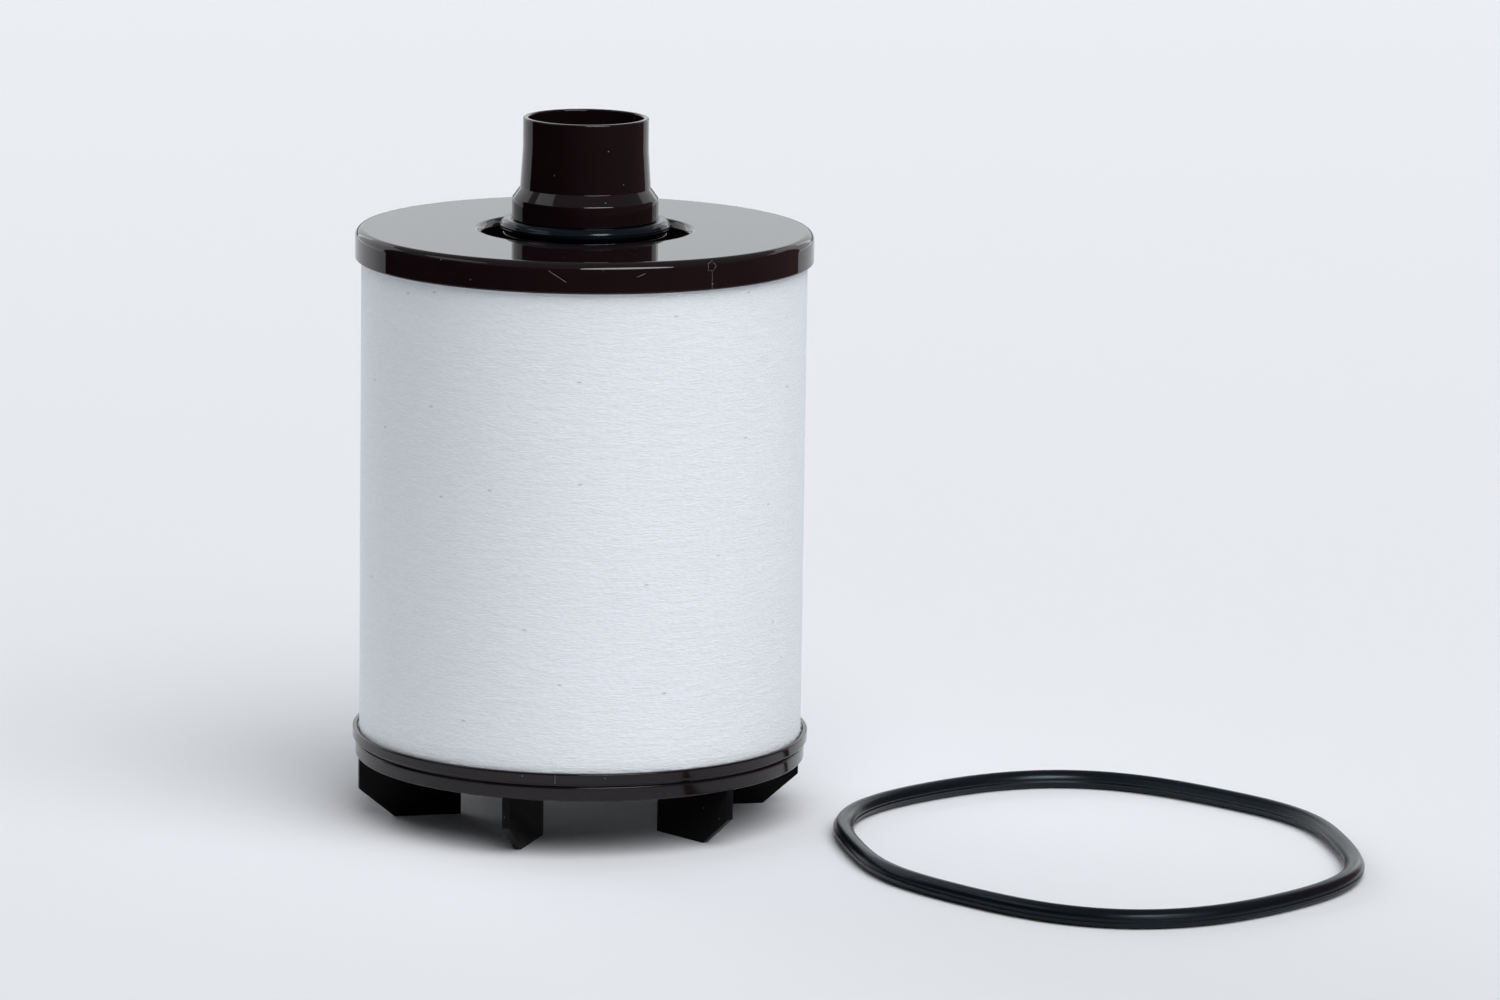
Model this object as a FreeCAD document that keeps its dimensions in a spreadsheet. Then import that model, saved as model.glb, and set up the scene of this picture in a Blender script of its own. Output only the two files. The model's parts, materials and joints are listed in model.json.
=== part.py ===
# Cartridge oil filter element with its loose housing seal ring.
#
# Millimetres, +Z up. The origin is on the element's axis, in the plane of the six fin tips that it
# stands on. The seal ring lies beside the element on the same plane.
#
# Oil passes from the outside in: fleece sleeve, cage, pleated media, windowed centre tube, and out
# through the pipe in the top cap. The pipe stands in a deep well, which takes the housing's boss.

import FreeCAD, Part
import Sketcher
import math
import os

V = FreeCAD.Vector
doc = FreeCAD.newDocument("filter_element")

# ---------------------------------------------------------------- driving dimensions

DRIVING = (
    # element
    ("cap_diameter", 84.0, "outside diameter of both end caps"),
    ("element_length", 92.6, "cup floor to the underside of the top cap"),
    # top cap
    ("cap_thickness", 1.6, "disc of the top cap"),
    ("cap_edge_round", 1.0, "rounding of the cap's upper edge"),
    ("skirt_height", 5.6, "cap top to the lower edge of its skirt"),
    ("skirt_thickness", 1.0, "wall of the skirt"),
    ("well_gap", 5.4, "free space between the pipe and the well's wall"),
    ("well_depth", 14.4, "cap top to the well's floor"),
    ("well_wall", 1.4, "wall of the well tube"),
    ("well_mouth_round", 0.8, "rounding of the well's mouth"),
    ("ledge_width", 2.0, "ledge in the well that the pipe's flange is welded to"),
    ("ledge_thickness", 1.5, "same ledge"),
    # outlet pipe
    ("spigot_radius", 11.5, "outlet spigot, outside"),
    ("spigot_wall", 1.0, "outlet spigot"),
    ("spigot_height", 20.5, "cap top to the spigot's end"),
    ("flare_step", 0.4, "spigot foot above the shoulder"),
    ("flare_height", 0.8, "same flare"),
    ("collar_step", 1.9, "collar radius over spigot radius"),
    ("shoulder_foot", 5.7, "cap top to the lower edge of the cone shoulder"),
    ("shoulder_height", 2.0, "cone shoulder"),
    ("groove_depth", 0.5, "seal groove below the collar"),
    ("retainer_step", 1.6, "retaining rib over the collar, below the O-ring"),
    ("retainer_height", 1.4, "same rib"),
    ("retainer_drop", 0.7, "cap top down to the rib's upper face"),
    ("o_ring_section", 2.6, "outlet O-ring"),
    ("flange_thickness", 2.5, "pipe flange at the well's floor"),
    ("flange_clearance", 0.1, "flange to the well's wall"),
    # centre tube
    ("core_clearance", 0.2, "centre tube to the well tube inside it"),
    ("core_wall", 1.2, "centre tube"),
    ("core_rows", 6, "window rows"),
    ("core_columns", 8, "windows round the tube"),
    ("core_window_width", 10.0, "window"),
    ("core_window_share", 0.72, "window height over row pitch"),
    # pleat pack
    ("pleat_count", 48, "pleats"),
    ("pleat_clearance", 0.2, "pack to the centre tube"),
    ("paper_thickness", 0.6, "filter paper"),
    ("mesh_thickness", 0.25, "support mesh on the clean side"),
    ("band_thickness", 0.8, "hot-melt spacer bands"),
    ("band_height", 2.0, "same bands"),
    ("band_clearance", 0.05, "bands to the pleat tips"),
    ("clip_thickness", 0.3, "steel clip on the paper's seam"),
    ("clip_depth", 4.0, "same clip"),
    # sleeve
    ("sleeve_clearance", 0.15, "fleece to the cap's skirt"),
    ("fleece_thickness", 1.2, "fleece"),
    ("fleece_seam_width", 3.0, "welded seam of the fleece"),
    ("fleece_seam_depth", 0.4, "same seam"),
    ("cage_clearance", 0.1, "cage to the fleece and to the bands"),
    ("cage_wall", 0.9, "grid cage under the fleece"),
    ("cage_rows", 5, "window rows"),
    ("cage_columns", 12, "windows round the cage"),
    ("cage_window_width", 16.0, "window"),
    ("cage_window_share", 0.86, "window height over row pitch"),
    ("potting_thickness", 1.0, "adhesive in each end cap"),
    # bottom cup and finned base
    ("cup_floor", 1.5, "floor of the bottom cup"),
    ("cup_height", 2.9, "whole cup"),
    ("cup_wall", 0.8, "rim of the cup"),
    ("bead_step", 0.1, "bead over the cap radius"),
    ("bead_foot_step", 0.4, "cup foot inside the cap radius"),
    ("bead_notch_step", 0.25, "notch above the bead"),
    ("spigot_ring_height", 4.0, "ring that centres the tube"),
    ("spigot_ring_clearance", 0.15, "same ring to the tube"),
    ("spigot_ring_wall", 1.2, "same ring"),
    ("band_step", 0.5, "base plate inside the cap radius"),
    ("base_thickness", 2.3, "base plate"),
    ("fin_height", 10.9, "fins below the base plate"),
    ("fin_thickness", 1.45, "fins"),
    ("fin_count", 6, "fins"),
    ("fin_start_angle", 12.7, "first fin, from +X"),
    ("fin_step", 0.45, "outer edge of a fin inside the base plate"),
    ("fin_root_radius", 22.4, "inner edge of a fin"),
    ("fin_chamfer_width", 6.25, "sloping corner of a fin"),
    ("fin_chamfer_height", 5.4, "same corner"),
    # loose seal ring
    ("seal_radius", 48.9, "mean radius of the seal ring as it lies"),
    ("seal_section", 3.4, "rubber section"),
    ("seal_gap", 8.9, "cap edge to the ring, along the line of centres"),
    ("seal_bearing", -17.9, "direction of the ring from the axis"),
)

# The ring lies a little out of round: each row is (waves round the ring, share of the radius,
# bearing of a crest).
SEAL_WAVES = (
    (2, 0.0990, -72.2),
    (3, 0.0084, 33.0),
    (4, 0.0147, 1.0),
    (6, 0.0164, -27.0),
)
SEAL_POINTS = 36

sizes = doc.addObject("Spreadsheet::Sheet", "Sizes")
for row, (alias, number, note) in enumerate(DRIVING, start=1):
    sizes.set(f"A{row}", note)
    sizes.set(f"B{row}", str(number))
    sizes.setAlias(f"B{row}", alias)
doc.recompute()


def cell(alias):
    """The expression that reads one driving dimension."""
    return f"Sizes.{alias}"


def value(expression):
    """The number that an expression gives now."""
    return float(sizes.evalExpression(str(expression)))


def add(*terms):
    return "(" + " + ".join(str(term) for term in terms) + ")"


def less(first, *terms):
    return "(" + " - ".join(str(term) for term in (first,) + terms) + ")"


# ---------------------------------------------------------------- places worked out from them

# heights, from the fin tips up
BASE_FOOT = cell("fin_height")
BASE_TOP = add(BASE_FOOT, cell("base_thickness"))
CUP_FLOOR = add(BASE_TOP, cell("cup_floor"))
CUP_RIM = add(BASE_TOP, cell("cup_height"))
PACK_FOOT = add(CUP_FLOOR, cell("potting_thickness"))
CAP_UNDER = add(CUP_FLOOR, cell("element_length"))
PACK_TOP = less(CAP_UNDER, cell("potting_thickness"))
CAP_TOP = add(CAP_UNDER, cell("cap_thickness"))
SKIRT_FOOT = less(CAP_TOP, cell("skirt_height"))
WELL_FLOOR = less(CAP_TOP, cell("well_depth"))
LEDGE_TOP = less(WELL_FLOOR, cell("flange_thickness"))
LEDGE_FOOT = less(LEDGE_TOP, cell("ledge_thickness"))

# radii, from the pipe outwards
SPIGOT = cell("spigot_radius")
BORE = less(SPIGOT, cell("spigot_wall"))
COLLAR = add(SPIGOT, cell("collar_step"))
WELL = add(COLLAR, cell("well_gap"))
WELL_OUTSIDE = add(WELL, cell("well_wall"))
CORE_INSIDE = add(WELL_OUTSIDE, cell("core_clearance"))
CORE_OUTSIDE = add(CORE_INSIDE, cell("core_wall"))
PACK_INSIDE = add(CORE_OUTSIDE, cell("pleat_clearance"))

# radii, from the caps inwards
CAP = f"({cell('cap_diameter')} / 2)"
SKIRT_INSIDE = less(CAP, cell("skirt_thickness"))
CUP_INSIDE = less(CAP, cell("cup_wall"))
FLEECE_OUTSIDE = less(SKIRT_INSIDE, cell("sleeve_clearance"))
FLEECE_INSIDE = less(FLEECE_OUTSIDE, cell("fleece_thickness"))
CAGE_OUTSIDE = less(FLEECE_INSIDE, cell("cage_clearance"))
CAGE_INSIDE = less(CAGE_OUTSIDE, cell("cage_wall"))
BAND_OUTSIDE = less(CAGE_INSIDE, cell("cage_clearance"))
BAND_INSIDE = less(BAND_OUTSIDE, cell("band_thickness"))
PACK_OUTSIDE = less(BAND_INSIDE, cell("band_clearance"))
BASE_EDGE = less(CAP, cell("band_step"))
FIN_EDGE = less(BASE_EDGE, cell("fin_step"))

subparts = []


# ---------------------------------------------------------------- ways of making a piece


def new_body(name):
    body = doc.addObject("PartDesign::Body", name)
    body.Label = name
    subparts.append(body)
    return body


def origin_plane(body, role):
    return next(item for item in body.Origin.OriginFeatures if item.Role == role)


def new_sketch(body, name, role):
    sketch = body.newObject("Sketcher::SketchObject", name)
    sketch.AttachmentSupport = [(origin_plane(body, role), "")]
    sketch.MapMode = "FlatFace"
    return sketch


def tie_point(sketch, line, expressions):
    """Hold the start of a line at two distances from the sketch's origin."""
    for kind, axis, expression in zip(("DistanceX", "DistanceY"), (-2, -1), expressions):
        distance = value(expression)
        if abs(distance) < 1e-9:
            sketch.addConstraint(Sketcher.Constraint("PointOnObject", line, 1, axis))
            continue
        index = sketch.addConstraint(Sketcher.Constraint(kind, -1, 1, line, 1, distance))
        sketch.setExpression(f"Constraints[{index}]", str(expression))


def draw_outline(sketch, corners):
    """A closed run of straight lines, with both coordinates of each corner tied to the sheet."""
    first = sketch.GeometryCount
    points = [V(value(x), value(y), 0) for x, y in corners]
    count = len(points)
    for i, point in enumerate(points):
        sketch.addGeometry(Part.LineSegment(point, points[(i + 1) % count]), False)
    for i in range(count):
        sketch.addConstraint(
            Sketcher.Constraint("Coincident", first + i, 2, first + (i + 1) % count, 1)
        )
    for i, corner in enumerate(corners):
        tie_point(sketch, first + i, corner)


def revolved(name, corners):
    """A body turned about Z from a profile of (radius, height) corners."""
    body = new_body(name)
    sketch = new_sketch(body, name + "_profile", "XZ_Plane")
    draw_outline(sketch, corners)
    turn = body.newObject("PartDesign::Revolution", name + "_turn")
    turn.Profile = sketch
    turn.ReferenceAxis = (sketch, ["V_Axis"])
    turn.Angle = 360
    sketch.Visibility = False
    doc.recompute()
    return body


def tube(name, inside, outside, foot, top):
    return revolved(name, [(inside, foot), (outside, foot), (outside, top), (inside, top)])


def round_circle(body, radius, height, round_size):
    """Fillet the circular edges of the body's tip that have this radius and height."""
    wanted_radius = value(radius)
    wanted_height = value(height)
    tip = body.Tip
    names = []
    for number, edge in enumerate(tip.Shape.Edges, start=1):
        if not isinstance(edge.Curve, Part.Circle):
            continue
        same_radius = abs(edge.Curve.Radius - wanted_radius) < 1e-4
        if same_radius and abs(edge.Curve.Center.z - wanted_height) < 1e-4:
            names.append(f"Edge{number}")
    if not names:
        raise RuntimeError(f"{body.Label} has no edge at that place")
    fillet = body.newObject("PartDesign::Fillet", f"{body.Label}_round_{len(body.Group)}")
    fillet.Base = (tip, names)
    fillet.setExpression("Radius", round_size)
    doc.recompute()
    return fillet


def polar_pattern(body, feature, sketch, count_alias):
    """Repeat a feature evenly about Z."""
    pattern = body.newObject("PartDesign::PolarPattern", feature.Name + "_ring")
    pattern.Originals = [feature]
    pattern.Axis = (sketch, ["V_Axis"])
    pattern.Angle = 360
    pattern.setExpression("Occurrences", cell(count_alias))
    body.Tip = pattern
    doc.recompute()
    return pattern


def cut_windows(body, prefix, outside, foot, top):
    """Cut rows of windows through one side of a tube, and repeat them round it."""
    solid_volume = body.Shape.Volume
    rows = int(value(cell(prefix + "_rows")))
    pitch = f"({less(top, foot)} / {cell(prefix + '_rows')})"
    window = f"({pitch} * {cell(prefix + '_window_share')})"
    half_bar = f"({less(pitch, window)} / 2)"
    width = cell(prefix + "_window_width")
    sketch = new_sketch(body, prefix + "_windows", "YZ_Plane")
    for row in range(rows):
        low = add(foot, f"{row} * {pitch}", half_bar)
        high = add(low, window)
        draw_outline(sketch, [(0, low), (width, low), (width, high), (0, high)])
    sketch.setExpression("AttachmentOffset.Base.x", f"-{width} / 2")
    pocket = body.newObject("PartDesign::Pocket", prefix + "_window_cut")
    pocket.Profile = sketch
    pocket.setExpression("Length", add(outside, 1))
    pocket.Reversed = True
    sketch.Visibility = False
    doc.recompute()
    if not pocket.Shape.Volume < solid_volume - 1:
        raise RuntimeError(f"{body.Label}: the windows cut nothing")
    polar_pattern(body, pocket, turn_axis_sketch(body), prefix + "_columns")


def turn_axis_sketch(body):
    """The profile sketch, whose vertical axis is Z."""
    return next(item for item in body.Group if item.Name.endswith("_profile"))


def part_feature(name, shape):
    """A piece whose shape is worked out in code."""
    piece = doc.addObject("Part::Feature", name)
    piece.Label = name
    piece.Shape = shape
    piece.Placement = FreeCAD.Placement()
    subparts.append(piece)
    return piece


# ---------------------------------------------------------------- the pieces


def make_top_cap():
    """Disc, skirt and the well tube with its welding ledge, in one moulding."""
    ledge_inside = less(WELL, cell("ledge_width"))
    cap = revolved(
        "top_cap",
        [
            (SKIRT_INSIDE, SKIRT_FOOT),
            (CAP, SKIRT_FOOT),
            (CAP, CAP_TOP),
            (WELL, CAP_TOP),
            (WELL, LEDGE_TOP),
            (ledge_inside, LEDGE_TOP),
            (ledge_inside, LEDGE_FOOT),
            (WELL_OUTSIDE, LEDGE_FOOT),
            (WELL_OUTSIDE, CAP_UNDER),
            (SKIRT_INSIDE, CAP_UNDER),
        ],
    )
    round_circle(cap, CAP, CAP_TOP, cell("cap_edge_round"))
    round_circle(cap, WELL, CAP_TOP, cell("well_mouth_round"))
    return cap


def make_outlet_pipe():
    """Spigot, cone shoulder, collar with the O-ring's groove, and the welded flange."""
    flange = less(WELL, cell("flange_clearance"))
    retainer = add(COLLAR, cell("retainer_step"))
    groove = less(COLLAR, cell("groove_depth"))
    retainer_top = less(CAP_TOP, cell("retainer_drop"))
    retainer_foot = less(retainer_top, cell("retainer_height"))
    groove_top = add(retainer_top, cell("o_ring_section"))
    shoulder_foot = add(CAP_TOP, cell("shoulder_foot"))
    shoulder_top = add(shoulder_foot, cell("shoulder_height"))
    flare = add(SPIGOT, cell("flare_step"))
    flare_top = add(shoulder_top, cell("flare_height"))
    pipe_top = add(CAP_TOP, cell("spigot_height"))
    return revolved(
        "outlet_pipe",
        [
            (BORE, LEDGE_TOP),
            (flange, LEDGE_TOP),
            (flange, WELL_FLOOR),
            (COLLAR, WELL_FLOOR),
            (COLLAR, retainer_foot),
            (retainer, retainer_foot),
            (retainer, retainer_top),
            (groove, retainer_top),
            (groove, groove_top),
            (COLLAR, groove_top),
            (COLLAR, shoulder_foot),
            (flare, shoulder_top),
            (SPIGOT, flare_top),
            (SPIGOT, pipe_top),
            (BORE, pipe_top),
        ],
    )


def make_outlet_o_ring():
    """Rubber ring in the collar's groove, resting on the retaining rib."""
    ring = doc.addObject("Part::Torus", "outlet_o_ring")
    ring.Label = "outlet_o_ring"
    half_section = f"({cell('o_ring_section')} / 2)"
    groove = less(COLLAR, cell("groove_depth"))
    retainer_top = less(CAP_TOP, cell("retainer_drop"))
    ring.setExpression("Radius1", add(groove, half_section))
    ring.setExpression("Radius2", half_section)
    ring.setExpression("Placement.Base.z", add(retainer_top, half_section))
    subparts.append(ring)
    return ring


def make_centre_tube():
    core = tube("centre_tube", CORE_INSIDE, CORE_OUTSIDE, CUP_FLOOR, CAP_UNDER)
    cut_windows(core, "core", CORE_OUTSIDE, PACK_FOOT, LEDGE_FOOT)
    return core


def pleat_corners(tip_radius, root_radius, tip_gap, root_gap, seam_drop):
    """One side of the folded sheet: two corners at every tip and two at every root.

    tip_gap and root_gap are how far a corner stands outside (plus) or inside (minus) the middle
    of the sheet's leg. The seam is the pleat on +Y, which is lower by seam_drop for its clip.
    """
    count = int(value(cell("pleat_count")))
    pitch = 2 * math.pi / count
    leg = pitch / 4
    points = []
    for i in range(count):
        middle = math.pi / 2 + i * pitch
        tip = tip_radius - (seam_drop if i == 0 else 0)
        tip_turn = leg + tip_gap / tip
        root_turn = leg - root_gap / root_radius
        for radius, angle in (
            (tip, middle - tip_turn),
            (tip, middle + tip_turn),
            (root_radius, middle + 2 * leg - root_turn),
            (root_radius, middle + 2 * leg + root_turn),
        ):
            points.append(V(radius * math.cos(angle), radius * math.sin(angle), 0))
    return points


def pleated_layer(name, start, thickness):
    """A folded sheet that begins start below the pack's outer face and is this thick."""
    tip = value(PACK_OUTSIDE)
    root = value(PACK_INSIDE)
    pack = value(cell("paper_thickness")) + value(cell("mesh_thickness"))
    seam_drop = value(cell("clip_thickness")) + value(cell("band_clearance"))
    foot = value(PACK_FOOT)
    height = value(PACK_TOP) - foot
    solids = []
    for depth in (start, start + thickness):
        offset = pack / 2 - depth
        points = pleat_corners(tip - depth, root + pack - depth, offset, offset, seam_drop)
        face = Part.Face(Part.makePolygon(points + points[:1]))
        face.translate(V(0, 0, foot))
        solids.append(face.extrude(V(0, 0, height)))
    return part_feature(name, solids[0].cut(solids[1]))


def make_pleat_pack():
    paper = value(cell("paper_thickness"))
    pleated_layer("pleated_media", 0, paper)
    pleated_layer("media_support_mesh", paper, value(cell("mesh_thickness")))


def make_pleat_seam_clip():
    """Folded steel channel over the pleat on +Y, where the paper's two ends meet."""
    clip = new_body("pleat_seam_clip")
    sketch = new_sketch(clip, "pleat_seam_clip_profile", "XY_Plane")
    pack = add(cell("paper_thickness"), cell("mesh_thickness"))
    thickness = cell("clip_thickness")
    clearance = cell("band_clearance")
    slot_end = less(PACK_OUTSIDE, thickness)
    leg_end = less(PACK_OUTSIDE, cell("clip_depth"))
    # widest at the tip: half the spacing of the legs, and half of the pack's own thickness
    half_slot = add(f"{PACK_OUTSIDE} * sin(90 / {cell('pleat_count')})", f"{pack} / 2", clearance)
    slot = f"(2 * {half_slot})"
    outside = add(slot, thickness, thickness)
    inner_side = add(thickness, slot)
    draw_outline(
        sketch,
        [
            (0, leg_end),
            (thickness, leg_end),
            (thickness, slot_end),
            (inner_side, slot_end),
            (inner_side, leg_end),
            (outside, leg_end),
            (outside, PACK_OUTSIDE),
            (0, PACK_OUTSIDE),
        ],
    )
    sketch.setExpression("AttachmentOffset.Base.x", f"-{outside} / 2")
    sketch.setExpression("AttachmentOffset.Base.z", PACK_FOOT)
    pad = clip.newObject("PartDesign::Pad", "pleat_seam_clip_length")
    pad.Profile = sketch
    pad.setExpression("Length", less(PACK_TOP, PACK_FOOT))
    sketch.Visibility = False
    return clip


def make_spacer_bands():
    """Three hot-melt bands that hold the pleats apart, a quarter of the pack apart."""
    for quarter, place in ((1, "lower"), (2, "middle"), (3, "upper")):
        middle = add(PACK_FOOT, f"{quarter} / 4 * {less(PACK_TOP, PACK_FOOT)}")
        foot = less(middle, f"{cell('band_height')} / 2")
        top = add(foot, cell("band_height"))
        tube("spacer_band_" + place, BAND_INSIDE, BAND_OUTSIDE, foot, top)


def make_sleeve_cage():
    cage = tube("sleeve_cage", CAGE_INSIDE, CAGE_OUTSIDE, PACK_FOOT, PACK_TOP)
    cut_windows(cage, "cage", CAGE_OUTSIDE, PACK_FOOT, PACK_TOP)
    return cage


def make_fleece_sleeve():
    """Wrapped fleece, with the shallow welded seam down its back."""
    sleeve = tube("fleece_sleeve", FLEECE_INSIDE, FLEECE_OUTSIDE, PACK_FOOT, PACK_TOP)
    tube_volume = sleeve.Shape.Volume
    width = cell("fleece_seam_width")
    sketch = new_sketch(sleeve, "fleece_seam", "XY_Plane")
    low = less(FLEECE_OUTSIDE, cell("fleece_seam_depth"))
    high = add(FLEECE_OUTSIDE, 1)
    draw_outline(sketch, [(0, low), (width, low), (width, high), (0, high)])
    sketch.setExpression("AttachmentOffset.Base.x", f"-{width} / 2")
    sketch.setExpression("AttachmentOffset.Base.z", PACK_TOP)
    seam = sleeve.newObject("PartDesign::Pocket", "fleece_seam_cut")
    seam.Profile = sketch
    seam.setExpression("Length", less(PACK_TOP, PACK_FOOT))
    sketch.Visibility = False
    doc.recompute()
    if not sleeve.Shape.Volume < tube_volume - 1:
        raise RuntimeError("the fleece's seam cuts nothing")
    return sleeve


def make_pottings():
    tube("upper_potting", CORE_OUTSIDE, SKIRT_INSIDE, PACK_TOP, CAP_UNDER)
    tube("lower_potting", CORE_OUTSIDE, CUP_INSIDE, CUP_FLOOR, PACK_FOOT)


def make_bottom_cup():
    """Floor, rim with its bead, and the low ring that centres the tube."""
    ring_outside = less(CORE_INSIDE, cell("spigot_ring_clearance"))
    ring_inside = less(ring_outside, cell("spigot_ring_wall"))
    ring_top = add(CUP_FLOOR, cell("spigot_ring_height"))
    bead = add(CAP, cell("bead_step"))
    step = f"({cell('cup_height')} / 9)"
    return revolved(
        "bottom_cup",
        [
            (0, BASE_TOP),
            (less(CAP, cell("bead_foot_step")), BASE_TOP),
            (bead, add(BASE_TOP, step)),
            (bead, add(BASE_TOP, step, step)),
            (less(CAP, cell("bead_notch_step")), add(BASE_TOP, f"3 * {step}")),
            (CAP, add(BASE_TOP, f"4 * {step}")),
            (CAP, CUP_RIM),
            (CUP_INSIDE, CUP_RIM),
            (CUP_INSIDE, CUP_FLOOR),
            (ring_outside, CUP_FLOOR),
            (ring_outside, ring_top),
            (ring_inside, ring_top),
            (ring_inside, CUP_FLOOR),
            (0, CUP_FLOOR),
        ],
    )


def make_finned_base():
    """Round plate with six flat fins below it, which the element stands on."""
    base = revolved(
        "finned_base",
        [(0, BASE_FOOT), (BASE_EDGE, BASE_FOOT), (BASE_EDGE, BASE_TOP), (0, BASE_TOP)],
    )
    sketch = new_sketch(base, "fin_outline", "XZ_Plane")
    foot_end = less(FIN_EDGE, cell("fin_chamfer_width"))
    root = cell("fin_root_radius")
    middle_of_plate = add(BASE_FOOT, f"{cell('base_thickness')} / 2")
    draw_outline(
        sketch,
        [
            (root, 0),
            (foot_end, 0),
            (FIN_EDGE, cell("fin_chamfer_height")),
            (FIN_EDGE, middle_of_plate),
            (root, middle_of_plate),
        ],
    )
    fin = base.newObject("PartDesign::Pad", "fin")
    fin.Profile = sketch
    fin.Midplane = True
    fin.setExpression("Length", cell("fin_thickness"))
    sketch.Visibility = False
    doc.recompute()
    polar_pattern(base, fin, turn_axis_sketch(base), "fin_count")
    base.Placement = FreeCAD.Placement(V(), FreeCAD.Rotation(V(0, 0, 1), 1))
    base.setExpression("Placement.Rotation.Angle", cell("fin_start_angle"))
    return base


def seal_outline():
    """The ring's centre line: a smooth closed curve a little out of round, level on the floor."""
    radius = value(cell("seal_radius"))
    reach = value(add(CAP, cell("seal_radius"), cell("seal_gap")))
    bearing = math.radians(value(cell("seal_bearing")))
    level = value(cell("seal_section")) / 2
    centre = V(reach * math.cos(bearing), reach * math.sin(bearing), level)
    points = []
    for i in range(SEAL_POINTS):
        angle = 2 * math.pi * i / SEAL_POINTS
        share = 1.0
        for waves, height, crest in SEAL_WAVES:
            share += height * math.cos(waves * (angle - math.radians(crest)))
        points.append(centre + V(math.cos(angle), math.sin(angle), 0) * (radius * share))
    curve = Part.BSplineCurve()
    curve.interpolate(Points=points, PeriodicFlag=True)
    return curve


def make_housing_seal():
    """Loose rubber ring of round section."""
    curve = seal_outline()
    start = curve.value(curve.FirstParameter)
    direction = curve.tangent(curve.FirstParameter)[0]
    half_section = value(cell("seal_section")) / 2
    section = Part.Wire(Part.Circle(start, direction, half_section).toShape())
    path = Part.Wire(curve.toShape())
    return part_feature("housing_seal", path.makePipeShell([section], True, False))


make_top_cap()
make_outlet_pipe()
make_outlet_o_ring()
make_centre_tube()
make_pleat_pack()
make_pleat_seam_clip()
make_spacer_bands()
make_sleeve_cage()
make_fleece_sleeve()
make_pottings()
make_bottom_cup()
make_finned_base()
make_housing_seal()
doc.recompute()

# ---------------------------------------------------------------- check and write

for item in doc.Objects:
    faults = [state for state in item.State if state in ("Invalid", "Error")]
    if faults:
        raise RuntimeError(f"{item.Label} is {faults}")

for piece in subparts:
    if piece.Shape.isNull() or not piece.Shape.isValid():
        raise RuntimeError(f"{piece.Label} has no valid shape")

os.makedirs("parts", exist_ok=True)
for piece in subparts:
    piece.Shape.exportStep(f"parts/{piece.Label}.step")
    box = piece.Shape.BoundBox
    print(f"{piece.Label}: {piece.Shape.Volume:.1f} mm3, z {box.ZMin:.2f} to {box.ZMax:.2f}")
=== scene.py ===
# Cartridge oil filter element, and its loose housing seal ring, in a pale studio.
#
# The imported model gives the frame: every place below is read from its boxes, or is a size in the
# property groups. Lengths are metres, +Z is up, and the element stands on its fins at z = 0.

import json
import math
import random

import bpy
from bpy.props import FloatProperty, FloatVectorProperty, IntProperty, PointerProperty
from mathutils import Matrix, Vector


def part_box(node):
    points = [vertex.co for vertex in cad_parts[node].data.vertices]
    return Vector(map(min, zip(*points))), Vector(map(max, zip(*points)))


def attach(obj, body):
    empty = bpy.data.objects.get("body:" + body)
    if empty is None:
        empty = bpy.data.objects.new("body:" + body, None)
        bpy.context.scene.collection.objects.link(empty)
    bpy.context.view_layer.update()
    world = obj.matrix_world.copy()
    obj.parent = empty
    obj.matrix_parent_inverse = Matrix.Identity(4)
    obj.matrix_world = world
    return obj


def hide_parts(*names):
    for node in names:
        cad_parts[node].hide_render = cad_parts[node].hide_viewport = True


bl_info = {
    "name": "Filter Element",
    "version": (1, 0, 0),
    "blender": (4, 5, 0),
    "location": "3D View > Sidebar > Filter",
    "description": "Builds a cartridge oil filter element and its studio",
    "category": "Add Mesh",
}

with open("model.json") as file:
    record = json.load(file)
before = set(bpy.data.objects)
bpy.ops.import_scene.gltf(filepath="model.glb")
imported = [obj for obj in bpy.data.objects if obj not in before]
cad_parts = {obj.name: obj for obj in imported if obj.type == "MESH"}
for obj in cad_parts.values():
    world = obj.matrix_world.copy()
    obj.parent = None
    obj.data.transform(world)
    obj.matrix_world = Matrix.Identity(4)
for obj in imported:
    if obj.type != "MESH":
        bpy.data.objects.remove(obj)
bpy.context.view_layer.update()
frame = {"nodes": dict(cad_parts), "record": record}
MOUNTS = {mount["name"]: mount for mount in frame["record"]["mounts"]}

MM = 0.001
WELD = 1e-6  # vertices nearer than this are one
AROUND = 288  # faces round the sleeve and the loose ring


def low(node, axis=2):
    """Lowest coordinate of a CAD node."""
    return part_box(node)[0][axis]


def high(node, axis=2):
    """Highest coordinate of a CAD node."""
    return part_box(node)[1][axis]


CAP_TOP = high("top_cap")
PACK_FOOT = low("fleece_sleeve")
PACK_TOP = high("fleece_sleeve")
SPIGOT_RADIUS = MOUNTS["outlet_spigot"]["dims"]["r_mm"] * MM
BORE_RADIUS = MOUNTS["outlet_bore"]["dims"]["r_mm"] * MM
SPIGOT_TOP = high("outlet_pipe")


# ------------------------------------------------------------------ sizes and colours


def linear(hex_colour):
    """An sRGB hex colour as linear red, green, blue."""
    channels = [int(hex_colour[i : i + 2], 16) / 255 for i in (0, 2, 4)]
    return tuple(c / 12.92 if c <= 0.04045 else ((c + 0.055) / 1.055) ** 2.4 for c in channels)


def length(name, description, millimetres):
    return FloatProperty(
        name=name, description=description, default=millimetres * MM, unit="LENGTH", precision=5
    )


def colour(name, description, hex_colour):
    start = linear(hex_colour)
    return FloatVectorProperty(
        name=name, description=description, default=start, subtype="COLOR", size=3, min=0, max=1
    )


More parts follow.
